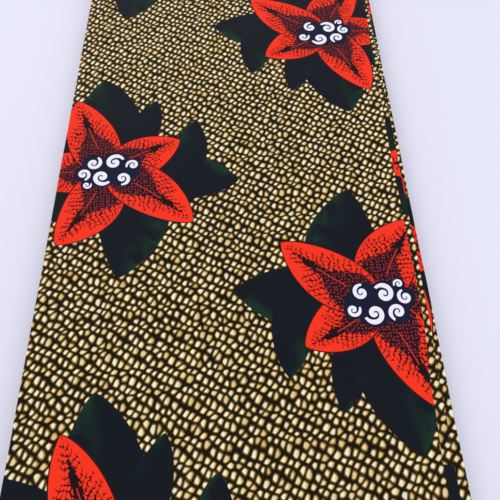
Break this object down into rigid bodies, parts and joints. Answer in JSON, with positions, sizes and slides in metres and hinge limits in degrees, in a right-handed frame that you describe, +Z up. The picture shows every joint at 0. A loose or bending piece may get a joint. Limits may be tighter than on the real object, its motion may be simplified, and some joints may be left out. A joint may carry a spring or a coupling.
{
  "type": "folded wax print cotton fabric",
  "caption": "Printed cotton cloth, folded lengthwise and wound flat into a long strip that lies on a surface, with rounded ends and open leaf edges on the right.",
  "frame": {"origin": "on the surface that the cloth lies on, under the middle of the folded strip", "axes": "+X across the strip to the open leaf edges, +Y along the strip away from the viewer, +Z up"},
  "size_m": [0.292, 0.6854, 0.0206],
  "materials": {
    "printed_cotton": "crisp cotton with a slight wax sheen, printed with flowers and leaves on a pebbled ground",
    "printed_cotton_under": "the same cotton, on the turn below",
    "printed_cotton_inner": "the same cotton, in the hidden layers"
  },
  "bodies": {
    "root": {"outer_turn": "printed_cotton", "second_turn": "printed_cotton_under", "inner_layers": "printed_cotton_inner"}
  },
  "joints": []
}
